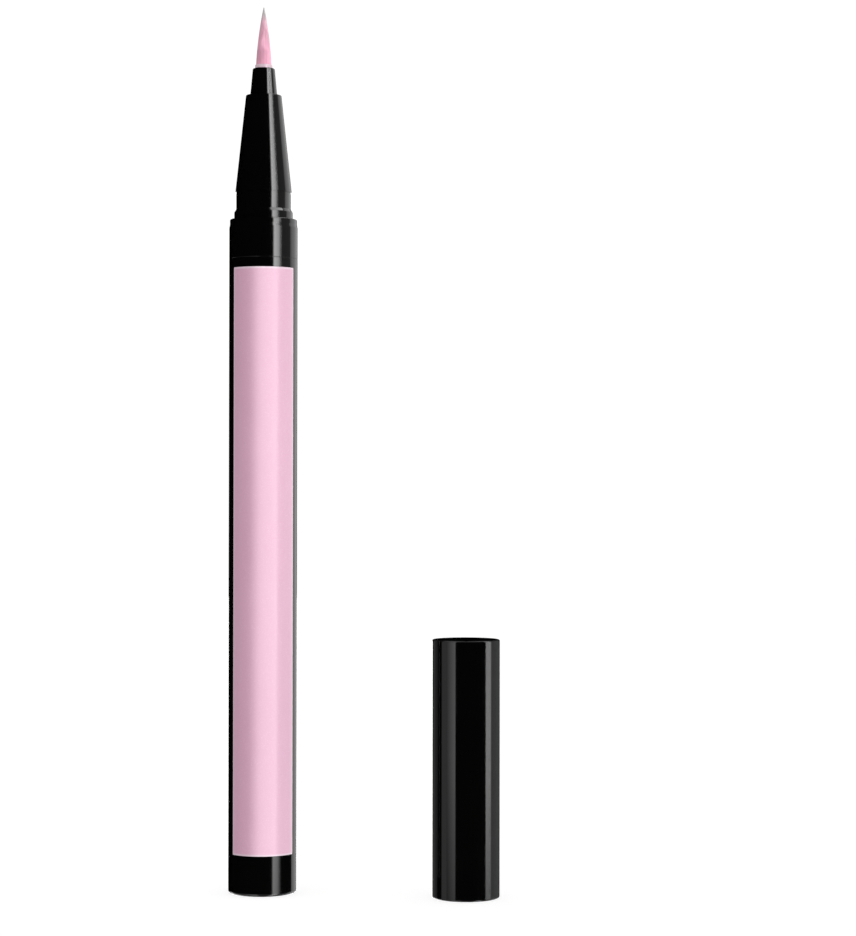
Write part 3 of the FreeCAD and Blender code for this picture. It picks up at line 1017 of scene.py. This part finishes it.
def low_card(name, azimuths, levels, softness, farther=0.2):
    """A card below the floor, which shows in views from above."""
    return Card(name, azimuths, levels, softness, heights=LOW, fade=LOW_ONLY, farther=farther)


PEN_CARDS = (
    Card("pen_strip", (32.0, 66.0), (10.6, 4.0), (0.16, 0.41), fade=dim_below(0.35)),
    Card("pen_fill", (60.0, 104.0), (0.28, 0.28), (0.1, 0.02), fade=ABOVE_TAIL),
    Card("pen_edge_soft", (102.0, 117.0), (1.1, 1.35), (0.2, 0.1), fade=ABOVE_TAIL),
    Card("pen_edge", (115.0, 160.0), (1.35, 1.15), (0.04, 0.1), fade=dim_below(0.8)),
    Card("neck_top", (48.0, 150.0), (5.0, 4.0), (0.1, 0.2), heights=HIGH),
)
HOLDER_CARDS = (
    Card("holder_strip", (58.0, 84.0), (6.5, 4.5), (0.1, 0.2)),
)
PANEL_CARDS = (
    Card("panel_sheen", (-42.0, 62.0), (5.6, 6.4), (0.3, 0.15), heights=WHOLE),
    Card("panel_side", (56.0, 120.0), (3.6, 2.8), (0.1, 0.05), heights=WHOLE),
    Card("panel_edge", (118.0, 165.0), (2.2, 2.2), (0.05, 0.1), heights=WHOLE),
    Card("panel_strip", (36.0, 48.0), (3.0, 3.0), (0.1, 0.2), heights=WHOLE),
)
CAP_CARDS = (
    Card("cap_strip", (70.0, 97.0), (4.1, 3.0), (0.1, 0.15), fade=CAP_FOOT),
    Card("cap_fill", (96.0, 160.0), (0.6, 0.1), (0.02, 0.1)),
    Card("cap_left_dim", (-92.0, -68.0), (0.48, 0.58), (0.15, 0.01)),
    Card("cap_left_box", (-68.0, -35.0), (0.58, 2.0), (0.01, 0.06), fade=CAP_FOOT),
    Card("cap_left_edge", (-150.0, -112.0), (0.2, 0.1), (0.1, 0.1)),
    Card("cap_overhead", ALL_ROUND, (1.0, 1.0), HARD_ENDS, heights=HIGH, fade=HIGH_ONLY, farther=0.2),
)
ROUND_CARDS = (
    low_card("floor_mirror", ALL_ROUND, (0.4, 0.4), HARD_ENDS, farther=0.3),
    low_card("low_strip_front", (34.0, 62.0), (5.0, 4.0), (0.1, 0.3)),
    low_card("low_box_right", (100.0, 165.0), (1.6, 1.0), (0.1, 0.6)),
    low_card("low_strip_back", (212.0, 236.0), (4.5, 4.0), (0.1, 0.3)),
    low_card("low_box_left", (280.0, 345.0), (0.8, 1.6), (0.6, 0.1)),
    Card("back_strip", (168.0, 192.0), (4.0, 4.0), (0.2, 0.2), heights=BACK, farther=0.1),
)


def stage_object(shape, name, material):
    """A stage object from a bmesh."""
    made = add_object(shape, name, material)
    made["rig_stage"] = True
    return made


def hide_from(made, camera=False, diffuse=False, glossy=False):
    """Keeps a stage object out of some kinds of light paths, and out of shadows."""
    made.visible_camera = not camera
    made.visible_diffuse = not diffuse
    made.visible_glossy = not glossy
    made.visible_transmission = False
    made.visible_shadow = False


def pale_floor(studio, colours):
    """A round paper floor just under the pieces."""
    shape = bmesh.new()
    bmesh.ops.create_circle(shape, cap_ends=True, radius=studio.room, segments=FLOOR_SIDES)
    bmesh.ops.translate(shape, verts=shape.verts, vec=(0.0, 0.0, -FLOOR_DROP))
    paper = Finish("floor_paper", {
        "Emission Color": WHITE, "Emission Strength": studio.floor_glow, "Roughness": 0.9,
    })
    paper.feed("Base Color", paper.mix(paper.noise(40.0, 3.0), colours.floor, colours.floor_pale))
    hide_from(stage_object(shape, "studio_floor", paper.material), diffuse=True, glossy=True)


def white_backdrop(studio):
    """A white dome round the floor."""
    shape = bmesh.new()
    bmesh.ops.create_uvsphere(
        shape, u_segments=BACKDROP_SIDES, v_segments=BACKDROP_RINGS, radius=studio.room,
    )
    white = Finish("backdrop_white", {})
    white.show(white.node("ShaderNodeEmission", {"Strength": studio.backdrop}).outputs[0])
    hide_from(stage_object(shape, "studio_backdrop", white.material), diffuse=True, glossy=True)


def soft_world(studio):
    """Soft light from all round that gives no reflections."""
    world = bpy.data.worlds.new("studio_world")
    world.use_nodes = True
    background = world.node_tree.nodes["Background"].inputs
    background["Color"].default_value = WHITE
    background["Strength"].default_value = studio.ambient
    bpy.context.scene.world = world
    world.cycles_visibility.glossy = False


def lit_group(name, bodies, without=(), only=()):
    """A collection of what rides on some bodies, for lights of their own."""
    group = bpy.data.collections.new(name)
    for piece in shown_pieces():
        chosen = piece.name in only if only else piece.name not in without
        if piece.get("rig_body") in bodies and chosen:
            group.objects.link(piece)
    return group


def glow_material(card, wide):
    """A glow that changes along a card's arc, with soft sides. Rays go on through it."""
    finish = Finish(card.name + "_glow", {})
    parts = finish.parts()
    around = finish.work_out("ARCTAN2", parts["X"], finish.work_out("MULTIPLY", parts["Y"], -1.0))
    left = -wide / 2
    right = wide / 2
    level = finish.spread(around, left, right, *card.levels)
    fades = (
        finish.spread(around, left, left + card.softness[0] * wide),
        finish.spread(around, right - card.softness[1] * wide, right, 1.0, 0.0),
        finish.spread(parts["Z"], *card.fade),
    )
    for fade in fades:
        level = finish.work_out("MULTIPLY", level, fade)
    glow = finish.node("ShaderNodeEmission", {"Strength": level}).outputs[0]
    clear = finish.node("ShaderNodeBsdfTransparent", {}).outputs[0]
    finish.show(finish.node("ShaderNodeAddShader", {0: glow, 1: clear}).outputs[0])
    return finish.material


def light_card(card, stand, studio, receivers):
    """Bends a card round a stand, for the reflections in some pieces alone."""
    first, last = (math.radians(azimuth) for azimuth in card.azimuths)
    wide = last - first
    away = studio.card_distance + card.farther
    shape = bmesh.new()
    shape.edges.new([shape.verts.new((0.0, -away, height)) for height in card.heights])
    rotate(shape, shape.verts, -wide / 2)
    sweep(shape, wide, CARD_STEPS)
    made = stage_object(shape, card.name, glow_material(card, wide))
    camera_azimuth = math.atan2(studio.camera_side - stand.x, stand.y + studio.camera_back)
    made.location = stand.to_3d()
    made.rotation_euler.z = camera_azimuth + (first + last) / 2
    hide_from(made, camera=True, diffuse=True)
    made.light_linking.receiver_collection = receivers


def reflected_cards(studio):
    """The cards of each group of pieces. The panel and the cap don't show in other pieces' gloss."""
    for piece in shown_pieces():
        if piece.name == "lacquer_panel" or piece.get("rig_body") in ("cap", "inner_cap"):
            piece.visible_glossy = False
    bodies = tuple(frame["bodies"])
    panel = ("lacquer_panel",)
    pen_stand = ORIGIN.to_2d()
    cap_stand = axis_of("cap_shell")
    lit = (
        (PEN_CARDS, pen_stand, lit_group("pen_lit", ("pen", "mixing_ball"), without=panel)),
        (HOLDER_CARDS, pen_stand, lit_group("holder_lit", ("pen",), only=("holder_tip",))),
        (PANEL_CARDS, pen_stand, lit_group("panel_lit", ("pen",), only=panel)),
        (CAP_CARDS, cap_stand, lit_group("cap_lit", ("cap", "inner_cap"))),
        (ROUND_CARDS, pen_stand, lit_group("gloss_lit", bodies, without=panel)),
    )
    for cards, stand, receivers in lit:
        for card in cards:
            light_card(card, stand, studio, receivers)


def soft_light(name, power, side, studio, receivers):
    """A soft light to the right of the camera that gives its pieces no highlight."""
    light = bpy.data.lights.new(name, "AREA")
    light.energy = power
    light.size = studio.key_size
    made = bpy.data.objects.new(name, light)
    bpy.context.scene.collection.objects.link(made)
    away = Vector((math.sin(side), -math.cos(side), math.tan(studio.key_lift))).normalized()
    made.location = LIGHT_AIM + away * studio.key_distance
    made.rotation_euler = away.to_track_quat("Z", "Y").to_euler()
    made.visible_camera = False
    made.visible_glossy = False
    made.light_linking.receiver_collection = receivers


def photo_camera(studio):
    """The camera, at the photograph's viewing angle."""
    lens = bpy.data.cameras.new("photo_camera")
    lens.lens = studio.lens
    lens.sensor_width = SENSOR_WIDTH
    lens.clip_start = NEAREST
    lens.clip_end = FARTHEST
    camera = bpy.data.objects.new("photo_camera", lens)
    camera.location = (studio.camera_side, -studio.camera_back, studio.camera_high)
    yaw = Matrix.Rotation(-studio.camera_yaw, 3, "Z")
    pitch = Matrix.Rotation(RIGHT_ANGLE + studio.camera_pitch, 3, "X")
    roll = Matrix.Rotation(studio.camera_roll, 3, "Z")
    camera.rotation_euler = (yaw @ pitch @ roll).to_euler()
    bpy.context.scene.collection.objects.link(camera)
    bpy.context.scene.camera = camera


class PEN_OT_studio(bpy.types.Operator):
    """Set the pale floor, the white backdrop, the soft lights and the camera"""

    bl_idname = "pen.studio"
    bl_label = "Studio"

    def execute(self, context):
        studio = context.scene.pen_studio
        pale_floor(studio, context.scene.pen_colours)
        white_backdrop(studio)
        soft_world(studio)
        reflected_cards(studio)
        nib_lit = lit_group("nib_lit", ("pen",), only=("fibre_nib",))
        all_lit = lit_group("all_lit", tuple(frame["bodies"]))
        soft_light("soft_key", studio.key_power, studio.key_side, studio, all_lit)
        soft_light("nib_light", studio.nib_power, studio.nib_side, studio, nib_lit)
        photo_camera(studio)
        context.scene.view_settings.view_transform = "Standard"
        return {"FINISHED"}


OPERATORS = (
    PEN_OT_barrel,
    PEN_OT_colour_panel,
    PEN_OT_nose_section,
    PEN_OT_nib_holder,
    PEN_OT_nib,
    PEN_OT_cap_shell,
    PEN_OT_cap_spring,
    PEN_OT_inner_works,
    PEN_OT_studio,
)
GROUPS = {
    "pen_barrel": PenBarrelSizes,
    "pen_nose": PenNoseSizes,
    "pen_nib": PenNibSizes,
    "pen_cap": PenCapSizes,
    "pen_colours": PenColours,
    "pen_studio": PenStudio,
}


class PEN_PT_dressing(bpy.types.Panel):
    """Lists the pieces and their sizes"""

    bl_idname = "PEN_PT_dressing"
    bl_label = "Eyeliner Pen"
    bl_space_type = "VIEW_3D"
    bl_region_type = "UI"
    bl_category = "Pen"

    def draw(self, context):
        steps = self.layout.column(align=True)
        for step in OPERATORS:
            steps.operator(step.bl_idname)
        for name, group in GROUPS.items():
            box = self.layout.box()
            box.label(text=group.__doc__)
            for setting in group.__annotations__:
                box.prop(getattr(context.scene, name), setting)


def register():
    """Adds the property groups, operators and panel."""
    for kind in (*GROUPS.values(), *OPERATORS, PEN_PT_dressing):
        bpy.utils.register_class(kind)
    for name, group in GROUPS.items():
        setattr(bpy.types.Scene, name, PointerProperty(type=group))


def unregister():
    """Takes the property groups, operators and panel out again."""
    for name in GROUPS:
        delattr(bpy.types.Scene, name)
    for kind in (PEN_PT_dressing, *reversed(OPERATORS), *reversed(GROUPS.values())):
        bpy.utils.unregister_class(kind)


def main():
    """Builds every piece and the studio."""
    register()
    bpy.ops.pen.barrel()
    bpy.ops.pen.colour_panel()
    bpy.ops.pen.nose_section()
    bpy.ops.pen.nib_holder()
    bpy.ops.pen.nib()
    bpy.ops.pen.cap_shell()
    bpy.ops.pen.cap_spring()
    bpy.ops.pen.inner_works()
    bpy.ops.pen.studio()


if __name__ == "__main__":
    main()
